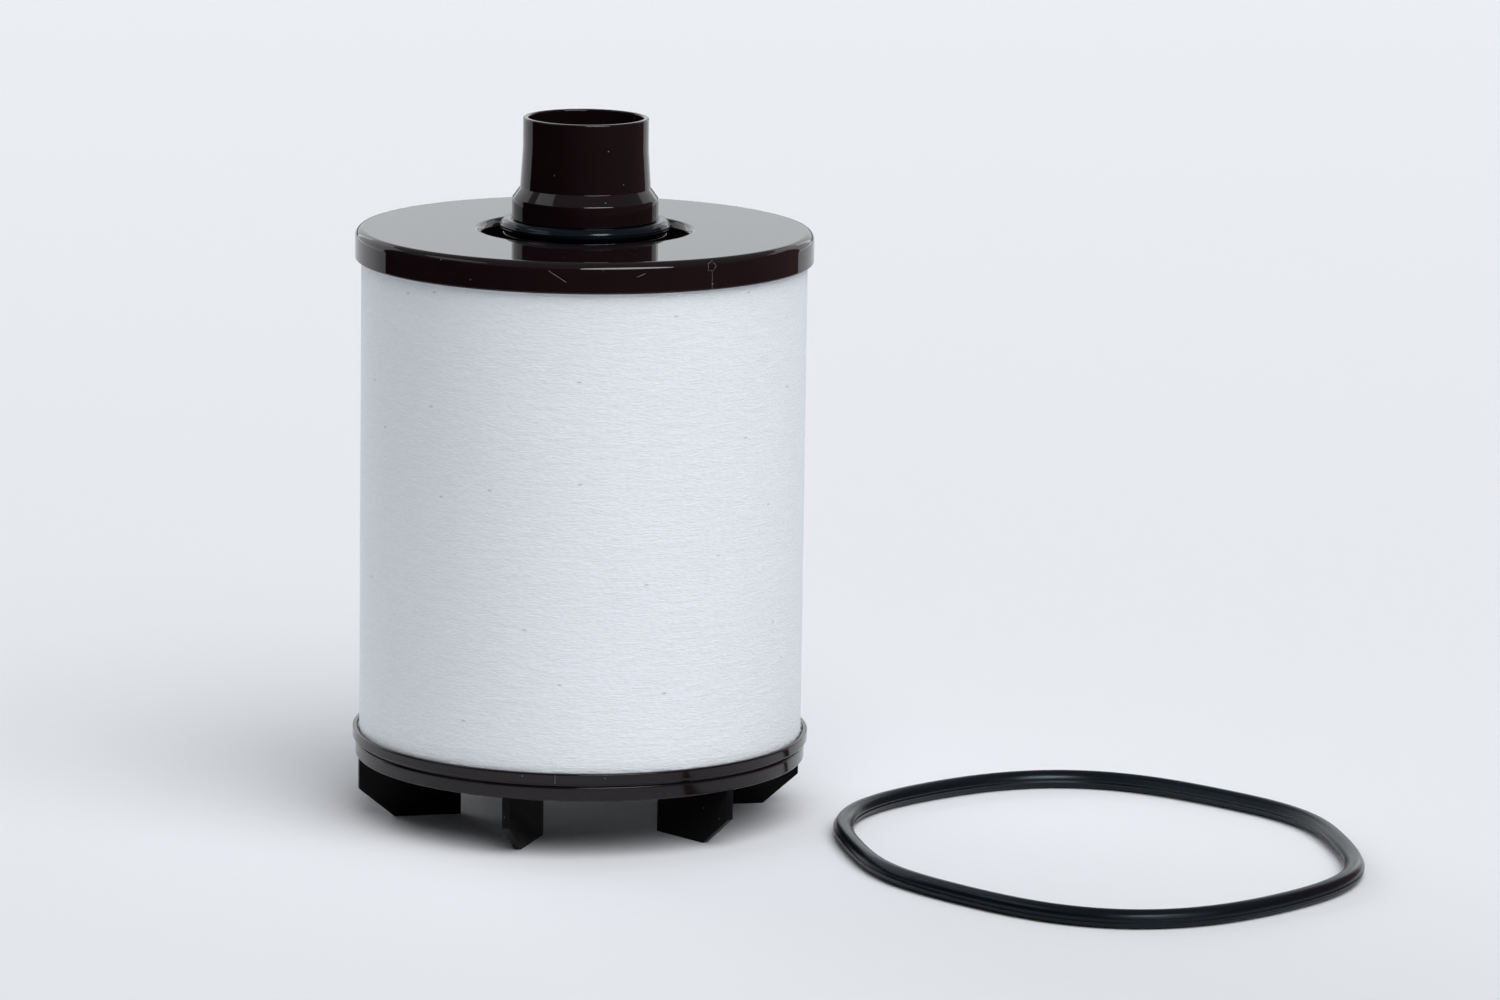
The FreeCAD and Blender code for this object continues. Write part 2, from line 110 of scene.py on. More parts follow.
class FilterCapSizes(bpy.types.PropertyGroup):
    """Top cap, cup and base."""

    cap_radius: length("Cap radius", "Outside radius of both end caps", 42.0)
    cap_thickness: length("Cap thickness", "Disc of the top cap", 1.6)
    cap_round: length("Cap edge rounding", "Rounding of the cap's upper edge", 1.5)
    skirt_height: length("Skirt height", "Cap top to the lower edge of the skirt", 5.6)
    skirt_wall: length("Skirt wall", "Wall of the skirt", 1.0)
    well_radius: length("Well radius", "Wall of the well round the pipe", 18.8)
    well_wall: length("Well wall", "Wall of the well tube", 1.4)
    well_round: length("Well mouth rounding", "Rounding of the well's mouth", 1.4)
    ledge_width: length("Ledge width", "Ledge that the pipe's flange is welded to", 2.0)
    ledge_thickness: length("Ledge thickness", "Thickness of the same ledge", 1.5)
    cup_wall: length("Cup wall", "Rim of the bottom cup", 0.8)
    cup_floor: length("Cup floor", "Floor of the bottom cup", 1.5)
    cup_rim: length("Cup rim", "Cup's underside to the top of its rim", 2.9)
    cup_bead: length("Cup bead", "How far the cup's wall stands out past the cap's radius", 0.05)
    groove_height: length("Groove height", "Cup's groove, and the band below it", 0.45)
    groove_depth: length("Groove depth", "Groove of the cup, in from the base radius", 0.4)
    tube_ring_radius: length("Tube ring radius", "Ring on the cup's floor, outside", 20.25)
    tube_ring_wall: length("Tube ring wall", "Wall of the same ring", 1.2)
    base_radius: length("Base radius", "Plate of the finned base", 41.5)
    fin_thickness: length("Fin thickness", "Flat fins below the base", 1.45)
    fin_inner: length("Fin inner edge", "Distance of a fin's inner edge from the axis", 22.4)
    fin_outer: length("Fin outer edge", "Distance of a fin's outer edge from the axis", 41.45)
    fin_foot: length("Fin foot", "Outer end of a fin's lower edge", 34.8)
    fin_corner: length("Fin corner", "Height of a fin's sloping corner", 5.4)
    fin_height: length("Fin height", "Fin tip to the plate's underside", 10.9)
    fin_edge: length("Fin edge", "Rounding of a fin's edges", 0.16)
    steps: IntProperty(name="Steps", description="Faces round the large turned pieces", default=256)


class FilterPipeSizes(bpy.types.PropertyGroup):
    """Outlet pipe and its O-ring."""

    collar_radius: length("Collar radius", "Wider lower part of the pipe", 13.4)
    shoulder_foot: length("Shoulder foot", "Cap top to the cone shoulder", 5.7)
    shoulder_height: length("Shoulder height", "Height of the cone shoulder", 2.0)
    flare: length("Flare", "Widening of the spigot's foot", 0.45)
    flare_height: length("Flare height", "Height of the part that widens", 7.0)
    groove_depth: length("Groove depth", "Groove of the O-ring", 0.5)
    rib_step: length("Rib step", "Retaining rib over the collar", 1.6)
    rib_height: length("Rib height", "Height of the retaining rib", 1.4)
    flange_radius: length("Flange radius", "Flange at the well's floor", 18.7)
    flange_thickness: length("Flange thickness", "Thickness of the same flange", 2.5)
    ring_section: length("O-ring section", "Diameter of the O-ring's rubber", 2.6)
    flash: length("Flash", "Height of the moulding line on both rubber rings", 0.14)
    steps: IntProperty(name="Steps", description="Faces round the pipe", default=160)


class FilterSleeveSizes(bpy.types.PropertyGroup):
    """Fleece sleeve."""

    thickness: length("Fleece thickness", "Wall of the fleece", 1.2)
    seam_width: length("Seam width", "Welded seam down the back", 3.0)
    seam_depth: length("Seam depth", "Depth of the same seam", 0.4)
    unevenness: length("Unevenness", "How far the fleece's surface wanders", 0.06)
    fibre: length("Fibre spacing", "Spacing of the fibres, wider than real so that it shows", 0.3)


class FilterSealSizes(bpy.types.PropertyGroup):
    """Loose housing seal."""

    mean_radius: length("Mean radius", "Middle of the rubber, were the ring round", 48.9)
    roll: FloatProperty(
        name="Roll",
        description="How far the limp ring's section is rolled where it lies nearest",
        default=math.radians(26),
        subtype="ANGLE",
    )


class FilterColours(bpy.types.PropertyGroup):
    """Colours of the finishes."""

    nylon: colour("Nylon", "Glossy moulded nylon of the cap and the pipe", "160D0F")
    base_nylon: colour("Base nylon", "Moulded nylon of the cup and the base plate", "130C0E")
    # the fins' darker colour is painted shade, standing for the shaded floor under the base plate
    fin_nylon_painted_shade: colour("Fin nylon", "Unpolished nylon of the fins, darkened by painted shade", "050405")
    rubber: colour("Rubber", "Nitrile rubber of the rings", "080D13")
    scar: colour("Scar", "Nylon whitened where it was scratched or cut", "B0A69E")
    dust: colour("Dust", "Specks of dust on the gloss", "9A9896")
    fleece: colour("Fleece", "White polyester fleece", "EAEFF4")
    floor: colour("Floor", "Pale studio floor", "E7E9ED")
    paper: colour("Filter paper", "Resin-treated filter paper", "E6D9AE")
    adhesive: colour("Adhesive", "Cast adhesive in the end caps", "4A413A")


def sizes_of(name):
    """A property group of the scene."""
    return getattr(bpy.context.scene, name)


# ------------------------------------------------------------------ ways of making a mesh


def pick(piece):
    """Select this object alone, and make it the active one."""
    bpy.ops.object.select_all(action="DESELECT")
    piece.select_set(True)
    bpy.context.view_layer.objects.active = piece


def start_mesh(name, point):
    """A new object in edit mode that holds one selected vertex at this point."""
    if bpy.context.object and bpy.context.object.mode != "OBJECT":
        bpy.ops.object.mode_set(mode="OBJECT")
    bpy.ops.object.select_all(action="DESELECT")
    bpy.ops.mesh.primitive_plane_add(size=MM)
    piece = bpy.context.object
    piece.name = name
    piece.data.name = name
    bpy.ops.object.mode_set(mode="EDIT")
    bpy.ops.mesh.select_all(action="SELECT")
    bpy.ops.mesh.merge(type="CENTER")
    bpy.ops.transform.translate(value=point)
    return piece


def draw_line(name, points, closed=True):
    """A run of edges through these points, extruded one after the other."""
    piece = start_mesh(name, points[0])
    route = list(points[1:]) + ([points[0]] if closed else [])
    place = Vector(points[0])
    for point in route:
        step = Vector(point) - place
        bpy.ops.mesh.extrude_region_move(TRANSFORM_OT_translate={"value": step})
        place = Vector(point)
    return piece


def turned(name, profile, steps, closed=True):
    """A solid spun about Z from a profile of (radius, height) points."""
    piece = draw_line(name, [(radius, 0, height) for radius, height in profile], closed)
    bpy.ops.mesh.select_all(action="SELECT")
    bpy.ops.mesh.spin(
        steps=steps, dupli=False, angle=math.tau, center=(0, 0, 0), axis=(0, 0, 1)
    )
    close_mesh()
    return piece


def close_mesh():
    """Merge what meets, and turn the faces outwards. Leaves edit mode."""
    bpy.ops.mesh.select_all(action="SELECT")
    bpy.ops.mesh.remove_doubles(threshold=WELD)
    bpy.ops.mesh.delete_loose()
    bpy.ops.mesh.select_all(action="SELECT")
    bpy.ops.mesh.normals_make_consistent(inside=False)
    bpy.ops.object.mode_set(mode="OBJECT")


def rounded(corners, arc_steps=6):
    """Profile points from (radius, height, rounding) corners, each rounding a tangent arc."""
    points = []
    count = len(corners)
    for i, (radius, height, rounding) in enumerate(corners):
        corner = Vector((radius, height))
        if not rounding:
            points.append(tuple(corner))
            continue
        before = (Vector(corners[i - 1][:2]) - corner).normalized()
        after = (Vector(corners[(i + 1) % count][:2]) - corner).normalized()
        half_angle = before.angle(after) / 2
        centre = corner + (before + after).normalized() * (rounding / math.sin(half_angle))
        reach = rounding / math.tan(half_angle)
        first = corner + before * reach - centre
        last = corner + after * reach - centre
        sweep = first.angle_signed(last)
        for step in range(arc_steps + 1):
            turn = -sweep * step / arc_steps
            x = first.x * math.cos(turn) - first.y * math.sin(turn)
            y = first.x * math.sin(turn) + first.y * math.cos(turn)
            points.append((centre.x + x, centre.y + y))
    return hold_flats(points)


def hold_flats(points, gap=0.08 * MM):
    """Add a point close to each end of the long runs, so that smooth shading stays in the
    roundings and the flats stay flat."""
    held = []
    for i, point in enumerate(points):
        start, end = Vector(point), Vector(points[(i + 1) % len(points)])
        run = end - start
        held.append(point)
        on_axis = start.x < WELD and end.x < WELD
        if run.length > 8 * gap and not on_axis:
            held.append(tuple(start + run.normalized() * gap))
            held.append(tuple(end - run.normalized() * gap))
    return held


def fine_beads(name, routes, radius):
    """Thin closed beads, one along each route of points, in one mesh."""
    curve = bpy.data.curves.new(name, "CURVE")
    curve.dimensions = "3D"
    curve.bevel_depth = radius
    curve.bevel_resolution = 0
    curve.use_fill_caps = True
    for route in routes:
        spline = curve.splines.new("POLY")
        spline.points.add(len(route) - 1)
        for point, place in zip(spline.points, route):
            point.co = (*place, 1.0)
    beads = bpy.data.objects.new(name, curve)
    bpy.context.collection.objects.link(beads)
    pick(beads)
    bpy.ops.object.convert(target="MESH")
    return bpy.context.object


def on_wall(radius, degrees, height):
    """A point on a round wall, at an angle from the front to the right."""
    angle = math.radians(degrees)
    return (radius * math.sin(angle), -radius * math.cos(angle), height)


def ring_section(radius, centre, height, flash, steps=40):
    """A round rubber section with the moulding's two fine flash lines, outside and inside."""
    points = []
    for step in range(steps):
        angle = math.tau * step / steps
        on_line = step % (steps // 2) in (1, steps // 2 - 1)
        reach = radius + (flash if on_line else 0)
        points.append((centre + reach * math.cos(angle), height + reach * math.sin(angle)))
    return points


def finish_piece(piece, material, body, slot, *nodes):
    """Smooth a finished piece, give it its material and its body, and hide the CAD nodes that it
    stands for. The slot is not used."""
    pick(piece)
    bpy.ops.object.shade_smooth_by_angle(angle=math.radians(32))
    piece.data.materials.clear()
    piece.data.materials.append(material)
    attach(piece, body)
    if nodes:
        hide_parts(*nodes)


# ------------------------------------------------------------------ materials


def new_material(name):
    """A material with its node tree, its shader and Object coordinates."""
    material = bpy.data.materials.new(name)
    material.use_nodes = True
    tree = material.node_tree
    shader = tree.nodes["Principled BSDF"]
    return material, tree, shader, add_node(tree, "TexCoord").outputs["Object"]


def add_node(tree, kind, inputs=None, **settings):
    """Add one shader node, set it up and link or set what feeds it."""
    node = tree.nodes.new("ShaderNode" + kind)
    for name, setting in settings.items():
        setattr(node, name, setting)
    for key, source in (inputs or {}).items():
        if isinstance(source, bpy.types.NodeSocket):
            tree.links.new(source, node.inputs[key])
        else:
            node.inputs[key].default_value = source
    return node


def per_metre(millimetres):
    """Noise scale, in features per metre, for features of this size."""
    return 1 / (millimetres * MM)


def with_alpha(rgb, share=1.0):
    """A share of a linear colour, opaque."""
    return tuple(min(1.0, c * share) for c in rgb) + (1.0,)


def specks(tree, place, scale, centre, edge, strength, dimensions="3D"):
    """One speck in each cell of a Voronoi pattern: its strength falls to nothing from its centre
    to its edge, both as shares of a cell."""
    cells = add_node(
        tree, "TexVoronoi", {"Vector": place, "Scale": scale}, voronoi_dimensions=dimensions
    )
    ends = {"From Min": centre, "From Max": edge, "To Min": strength, "To Max": 0.0}
    return add_node(
        tree, "MapRange", {"Value": cells.outputs["Distance"], **ends}
    ).outputs["Result"]


def moulded_nylon(name, rgb, roughness, waviness, shine=0.3):
    """Glass-filled nylon from a polished mould: nearly black with a brown cast and mirror-glossy,
    with a faint ripple over broad areas and a few specks of dust that stay dull."""
    material, tree, shader, place = new_material(name)
    shader.inputs["IOR"].default_value = 1.53
    shader.inputs["Specular IOR Level"].default_value = shine

    patches = add_node(tree, "TexNoise", {"Vector": place, "Scale": per_metre(9)})
    shade = add_node(
        tree,
        "Mix",
        {"Factor": patches.outputs["Fac"], "A": with_alpha(rgb, 0.8), "B": with_alpha(rgb, 1.2)},
        data_type="RGBA",
    )
    speck = specks(tree, place, per_metre(3), centre=0.02, edge=0.035, strength=1.0)
    dust = with_alpha(sizes_of("filter_colours").dust)
    dusty = add_node(
        tree, "Mix", {"Factor": speck, "A": shade.outputs["Result"], "B": dust}, data_type="RGBA"
    )
    tree.links.new(dusty.outputs["Result"], shader.inputs["Base Color"])

    haze = add_node(tree, "TexNoise", {"Vector": place, "Scale": per_metre(12), "Detail": 3.0})
    gloss = add_node(
        tree,
        "MapRange",
        {"Value": haze.outputs["Fac"], "To Min": roughness * 0.7, "To Max": roughness * 1.3},
    )
    dull = add_node(tree, "Mix", {"Factor": speck, "A": gloss.outputs["Result"], "B": 0.6})
    tree.links.new(dull.outputs["Result"], shader.inputs["Roughness"])

    ripple = add_node(tree, "TexNoise", {"Vector": place, "Scale": per_metre(8), "Detail": 1.0})
    bump = add_node(
        tree, "Bump", {"Height": ripple.outputs["Fac"], "Strength": 1.0, "Distance": waviness}
    )
    tree.links.new(bump.outputs["Normal"], shader.inputs["Normal"])
    return material


def vary(tree, shader, noise, rgb, tones, roughness, shares):
    """Let one noise change a finish's colour and roughness between two shares of each."""
    fac = noise.outputs["Fac"]
    dark, light = (with_alpha(rgb, tone) for tone in tones)
    shade = add_node(tree, "Mix", {"Factor": fac, "A": dark, "B": light}, data_type="RGBA")
    tree.links.new(shade.outputs["Result"], shader.inputs["Base Color"])
    glossy, dull = (roughness * share for share in shares)
    gloss = add_node(tree, "MapRange", {"Value": fac, "To Min": glossy, "To Max": dull})
    tree.links.new(gloss.outputs["Result"], shader.inputs["Roughness"])


def nitrile_rubber(name, rgb, roughness):
    """Moulded nitrile rubber: bluish black, satin, or glossier where it is oiled, with a little
    bloom and a fine grain, which is drawn coarser than the real one so that it shows."""
    material, tree, shader, place = new_material(name)
    shader.inputs["IOR"].default_value = 1.52
    shader.inputs["Specular IOR Level"].default_value = 0.24
    shader.inputs["Specular Tint"].default_value = (0.78, 0.92, 1.0, 1.0)
    bloom = add_node(tree, "TexNoise", {"Vector": place, "Scale": per_metre(7), "Detail": 4.0})
    vary(tree, shader, bloom, rgb, (0.8, 1.3), roughness, (0.8, 1.25))
    grain = add_node(tree, "TexNoise", {"Vector": place, "Scale": per_metre(0.35), "Detail": 2.0})
    bump = add_node(
        tree, "Bump", {"Height": grain.outputs["Fac"], "Strength": 0.2, "Distance": 0.01 * MM}
    )
    tree.links.new(bump.outputs["Normal"], shader.inputs["Normal"])
    return material


def polyester_fleece(name, rgb, fibre, radius):
    """Wrapped polyester fleece: white, matt, its fine fibres lying round the sleeve, with soft
    thicker and thinner patches and a few dark specks. Radius is that of its outer face."""
    material, tree, shader, place = new_material(name)
    shader.inputs["Roughness"].default_value = 0.88
    shader.inputs["Specular IOR Level"].default_value = 0.25
    shader.inputs["Sheen Weight"].default_value = 0.25
    shader.inputs["Sheen Roughness"].default_value = 0.5

    parts = add_node(tree, "SeparateXYZ", {"Vector": place})
    back = add_node(tree, "Math", {0: parts.outputs["Y"], 1: -1.0}, operation="MULTIPLY")
    angle = add_node(
        tree, "Math", {0: parts.outputs["X"], 1: back.outputs["Value"]}, operation="ARCTAN2"
    )
    along = add_node(tree, "Math", {0: angle.outputs["Value"], 1: radius}, operation="MULTIPLY")
    surface = add_node(
        tree, "CombineXYZ", {"X": along.outputs["Value"], "Y": parts.outputs["Z"], "Z": 0.0}
    )

    def drawn_out(run, rise):
        """The sleeve's surface, scaled for features of these sizes in mm, round it and up it."""
        scale = (per_metre(run), per_metre(rise), 1.0)
        return add_node(
            tree, "Mapping", {"Vector": surface.outputs["Vector"], "Scale": scale}
        ).outputs["Vector"]

    def streaks(run, rise, detail):
        """Noise drawn out round the sleeve."""
        return add_node(
            tree, "TexNoise", {"Vector": drawn_out(run, rise), "Scale": 1.0, "Detail": detail}
        ).outputs["Fac"]

    fibres = streaks(1.2, fibre / MM, 4.0)
    clumps = streaks(4.5, 1.1, 3.0)
    cloud = streaks(30.0, 22.0, 1.0)
    mixed = fibres
    for part, share in ((clumps, 0.45), (cloud, 0.25)):
        mixed = add_node(
            tree, "Math", {0: part, 1: share, 2: mixed}, operation="MULTIPLY_ADD"
        ).outputs[0]
    tone = add_node(
        tree, "MapRange", {"Value": mixed, "From Min": 0.62, "From Max": 1.08, "To Min": 0.0}
    )
    shade = add_node(
        tree,
        "Mix",
        {"Factor": tone.outputs["Result"], "A": with_alpha(rgb, 0.92), "B": with_alpha(rgb, 1.0)},
        data_type="RGBA",
    )
    fleck = specks(
        tree, drawn_out(30, 13), 1.0, centre=0.006, edge=0.02, strength=0.7, dimensions="2D"
    )
    dark = with_alpha(rgb, 0.55)
    marked = add_node(
        tree, "Mix", {"Factor": fleck, "A": shade.outputs["Result"], "B": dark}, data_type="RGBA"
    )
    tree.links.new(marked.outputs["Result"], shader.inputs["Base Color"])

    relief = add_node(tree, "Math", {0: fibres, 1: clumps}, operation="ADD")
    bump = add_node(
        tree, "Bump", {"Height": relief.outputs[0], "Strength": 1.0, "Distance": 0.14 * MM}
    )
    tree.links.new(bump.outputs["Normal"], shader.inputs["Normal"])
    return material


def plain_moulding(name, rgb, roughness, grain_mm, metallic=0.0):
    """Finish of an inner piece: slight tone changes and a fine grain of this size."""
    material, tree, shader, place = new_material(name)
    shader.inputs["Metallic"].default_value = metallic
    grain = add_node(
        tree, "TexNoise", {"Vector": place, "Scale": per_metre(grain_mm), "Detail": 4.0}
    )
    vary(tree, shader, grain, rgb, (0.8, 1.15), roughness, (0.8, 1.2))
    bump = add_node(
        tree, "Bump", {"Height": grain.outputs["Fac"], "Strength": 0.4, "Distance": 0.04 * MM}
    )
    tree.links.new(bump.outputs["Normal"], shader.inputs["Normal"])
    return material


# ------------------------------------------------------------------ pieces


class FILTER_OT_top_cap(bpy.types.Operator):
    """Add the top cap: disc, skirt and the well tube with its ledge"""

    bl_idname = "filter_element.top_cap"
    bl_label = "Top Cap"

    def execute(self, context):
        size = sizes_of("filter_cap")
        top = CAP_TOP
        under = top - size.cap_thickness
        skirt_foot = top - size.skirt_height
        skirt_inside = size.cap_radius - size.skirt_wall
        ledge_foot = low("top_cap")
        ledge_top = ledge_foot + size.ledge_thickness
        ledge_inside = size.well_radius - size.ledge_width
        well_outside = size.well_radius + size.well_wall
        fine = 0.15 * MM
        profile = rounded(
            [
                (skirt_inside, skirt_foot, fine),
                (size.cap_radius, skirt_foot, 2 * fine),
                (size.cap_radius, top, size.cap_round),
                (size.well_radius, top, size.well_round),
                (size.well_radius, ledge_top, fine),
                (ledge_inside, ledge_top, fine),
                (ledge_inside, ledge_foot, fine),
                (well_outside, ledge_foot, fine),
                (well_outside, under, 4 * fine),
                (skirt_inside, under, fine),
            ]
        )
        cap = turned("top_cap_moulding", profile, size.steps)
        rgb = sizes_of("filter_colours").nylon
        nylon = moulded_nylon("moulded_nylon_gloss", rgb, roughness=0.03, waviness=0.002 * MM)
        finish_piece(cap, nylon, "filter", "cap_plastic", "top_cap")
        return {"FINISHED"}


class FILTER_OT_outlet_pipe(bpy.types.Operator):
    """Add the outlet pipe: spigot, shoulder, collar, groove, rib and flange"""

    bl_idname = "filter_element.outlet_pipe"
    bl_label = "Outlet Pipe"

    def execute(self, context):
        size = sizes_of("filter_pipe")
        foot = low("outlet_pipe")
        ring_foot = low("outlet_o_ring")
        rib_radius = size.collar_radius + size.rib_step
        groove = size.collar_radius - size.groove_depth
        shoulder_foot = CAP_TOP + size.shoulder_foot
        shoulder_top = shoulder_foot + size.shoulder_height
        flare_radius = SPIGOT_RADIUS + size.flare
        flare_top = shoulder_top + size.flare_height
        fine = 0.12 * MM
        rim = 0.3 * MM
        profile = rounded(
            [
                (BORE_RADIUS, foot, fine),
                (size.flange_radius, foot, fine),
                (size.flange_radius, foot + size.flange_thickness, fine),
                (size.collar_radius, foot + size.flange_thickness, 3 * fine),
                (size.collar_radius, ring_foot - size.rib_height, 2 * fine),
                (rib_radius, ring_foot - size.rib_height, fine),
                (rib_radius, ring_foot, fine),
                (groove, ring_foot, fine),
                (groove, high("outlet_o_ring"), fine),
                (size.collar_radius, high("outlet_o_ring"), fine),
                (size.collar_radius, shoulder_foot, 5 * fine),
                (flare_radius, shoulder_top, 2 * fine),
                (SPIGOT_RADIUS, flare_top, 20 * MM),
                (SPIGOT_RADIUS, SPIGOT_TOP, rim),
                (BORE_RADIUS, SPIGOT_TOP, rim),
            ]
        )
        pipe = turned("outlet_pipe_moulding", profile, size.steps)
        nylon = bpy.data.materials["moulded_nylon_gloss"]
        finish_piece(pipe, nylon, "filter", "cap_plastic", "outlet_pipe")
        return {"FINISHED"}


class FILTER_OT_outlet_o_ring(bpy.types.Operator):
    """Add the rubber ring in the collar's groove"""

    bl_idname = "filter_element.outlet_o_ring"
    bl_label = "Outlet O-ring"

    def execute(self, context):
        size = sizes_of("filter_pipe")
        section = size.ring_section / 2
        middle = (low("outlet_o_ring") + high("outlet_o_ring")) / 2
        centre = high("outlet_o_ring", axis=0) - section
        profile = ring_section(section, centre, middle, 0.5 * size.flash)
        ring = turned("outlet_o_ring_rubber", profile, size.steps)
        rgb = sizes_of("filter_colours").rubber
        rubber = nitrile_rubber("nitrile_rubber_oiled", rgb, roughness=0.1)
        finish_piece(ring, rubber, "filter", "outlet_rubber", "outlet_o_ring")
        return {"FINISHED"}


class FILTER_OT_fleece_sleeve(bpy.types.Operator):
    """Add the white fleece round the element, with its seam at the back"""

    bl_idname = "filter_element.fleece_sleeve"
    bl_label = "Fleece Sleeve"

    def execute(self, context):
        size = sizes_of("filter_sleeve")
        outside = high("fleece_sleeve", axis=0)
        inside = outside - size.thickness
        rows = 72  # faces up the outer wall, for its unevenness
        rise = (PACK_TOP - PACK_FOOT) / rows
        profile = [(inside, PACK_TOP), (inside, PACK_FOOT)]
        profile += [(outside, PACK_FOOT + rise * row) for row in range(rows + 1)]
        sleeve = turned("fleece_sleeve_wrap", profile, AROUND)
        self.press_seam(sleeve, outside, size)
        self.wander(sleeve, size.unevenness)
        rgb = sizes_of("filter_colours").fleece
        fleece = polyester_fleece("polyester_fleece", rgb, size.fibre, radius=outside)
        finish_piece(sleeve, fleece, "filter", "fleece", "fleece_sleeve")
        return {"FINISHED"}

    @staticmethod
    def press_seam(sleeve, outside, size):
        """Sink the outer face along the back by a smooth groove."""
        for vertex in sleeve.data.vertices:
            x, y, _ = vertex.co
            across = abs(x) / (size.seam_width / 2)
            if y <= 0 or across >= 1 or math.hypot(x, y) < outside - WELD:
                continue
            sink = size.seam_depth * (0.5 + 0.5 * math.cos(math.pi * across))
            vertex.co.y -= sink

    @staticmethod
    def wander(sleeve, height):
        """A slight soft unevenness of the surface, inwards only."""
        clouds = bpy.data.textures.new("fleece_unevenness", type="CLOUDS")
        clouds.noise_scale = 9 * MM
        displace = sleeve.modifiers.new("unevenness", "DISPLACE")
        displace.texture = clouds
        displace.texture_coords = "LOCAL"
        displace.mid_level = 1.0
        displace.strength = height
        bpy.ops.object.modifier_apply(modifier=displace.name)


class FILTER_OT_fleece_fibres(bpy.types.Operator):
    """Add the loose fibres that stand a little off the fleece, most of them at its lower edge"""

    bl_idname = "filter_element.fleece_fibres"
    bl_label = "Fleece Fibres"

    EDGE_FIBRES, EDGE_LIFT = 280, 0.35 * MM
    WALL_FIBRES, WALL_LIFT = 120, 0.12 * MM
    RADIUS = 0.03 * MM

    def execute(self, context):
        chance = random.Random(11)
        outside = high("fleece_sleeve", axis=0)
        rim_top = low("bottom_cup") + sizes_of("filter_cap").cup_rim
        routes = []
        for _ in range(self.EDGE_FIBRES):
            turn = chance.uniform(0, 360)
            height = rim_top + chance.uniform(-0.1, 0.5) * MM
            drop = chance.uniform(-0.5, 0.1) * MM
            routes.append(self.fibre(chance, outside, turn, height, drop, self.EDGE_LIFT))
        for _ in range(self.WALL_FIBRES):
            turn = chance.uniform(0, 360)
            height = chance.uniform(PACK_FOOT + 3 * MM, PACK_TOP - 5 * MM)
            drop = chance.uniform(-0.3, 0.3) * MM
            routes.append(self.fibre(chance, outside, turn, height, drop, self.WALL_LIFT))
        fibres = fine_beads("fleece_loose_fibres", routes, self.RADIUS)
        fleece = bpy.data.materials["polyester_fleece"]
        finish_piece(fibres, fleece, "filter", "fleece")
        return {"FINISHED"}

    @staticmethod
    def fibre(chance, outside, turn, height, drop, lift):
        """A short fibre that lies round the sleeve and bows out of it by up to lift."""
        reach = chance.uniform(1.0, 3.6)  # degrees round the sleeve
        sunk = outside - 0.05 * MM
        route = []
        for step in range(6):
            share = step / 5
            bow = math.sin(math.pi * share) * chance.uniform(0.6, 1.0) * lift
            route.append(on_wall(sunk + bow, turn + reach * share, height + drop * share))
        return route


class FILTER_OT_moulding_scars(bpy.types.Operator):
    """Add the whitened marks of the mouldings: the gate's scar, weld lines and scratches"""

    bl_idname = "filter_element.moulding_scars"
    bl_label = "Moulding Scars"

    # angles are degrees from the front to the right, heights are millimetres
    GATE_ANGLE = 34.0
    CUP_LINE_ANGLE = -4.7
    # angle and height above the skirt's foot, at one end and at the other
    SCRATCHES = ((-7.5, 4.2, -3.1, 2.2), (14.2, 3.1, 16.2, 3.7))
    RADIUS = 0.016 * MM

    def execute(self, context):
        size = sizes_of("filter_cap")
        foot = CAP_TOP - size.skirt_height
        lines = [self.weld_line(size, foot)]
        for ends in self.SCRATCHES:
            lines.append(self.scratch(size, foot, *ends))
        lines += [self.cup_line(size), self.gate_loop(size)]
        marks = fine_beads("moulding_scars", lines, self.RADIUS)
        rgb = sizes_of("filter_colours").scar
        scar = plain_moulding("whitened_nylon", rgb, roughness=0.5, grain_mm=0.2)
        finish_piece(marks, scar, "filter", "cap_plastic")
        return {"FINISHED"}

    def scratch(self, size, foot, start, rise, end, fall):
        """A straight hairline scratch across the skirt."""
        route = []
        for step in range(6):
            share = step / 5
            height = foot + (rise + (fall - rise) * share) * MM
            route.append(self.on_cap(size, start + (end - start) * share, height))
        return route

    def cup_line(self, size):
        """The weld line across the cup's wall, slightly jagged."""
        radius = size.cap_radius + size.cup_bead
        foot = low("bottom_cup") + 1.1 * MM
        angles = (self.CUP_LINE_ANGLE, self.CUP_LINE_ANGLE + 0.08)
        return [on_wall(radius, angles[step % 2], foot + 0.4 * MM * step) for step in range(5)]

    @staticmethod
    def on_cap(size, degrees, height):
        """A point of the skirt's outer face, or of the rounding above it."""
        over = max(0.0, height - (CAP_TOP - size.cap_round))
        inwards = size.cap_round - math.sqrt(size.cap_round**2 - over**2)
        return on_wall(size.cap_radius - inwards, degrees, height)

    def gate_loop(self, size):
        """The uneven outline that the moulding gate left."""
        points = 30
        middle = CAP_TOP - 1.3 * MM
        route = []
        for step in range(points + 1):
            turn = math.tau * step / points
            uneven = 1 + 0.12 * math.sin(2 * turn + 0.9) + 0.13 * math.cos(5 * turn)
            degrees = self.GATE_ANGLE + uneven * math.cos(turn)
            route.append(self.on_cap(size, degrees, middle + 0.9 * MM * uneven * math.sin(turn)))
        return route

    def weld_line(self, size, foot):
        """The line below the gate where the melt met."""
        bends = (0.1, 0.2, 0.06, 0.22, 0.12, 0.18)
        rise = 3.3 * MM / (len(bends) - 1)
        return [
            self.on_cap(size, self.GATE_ANGLE + bend, foot + rise * step)
            for step, bend in enumerate(bends)
        ]


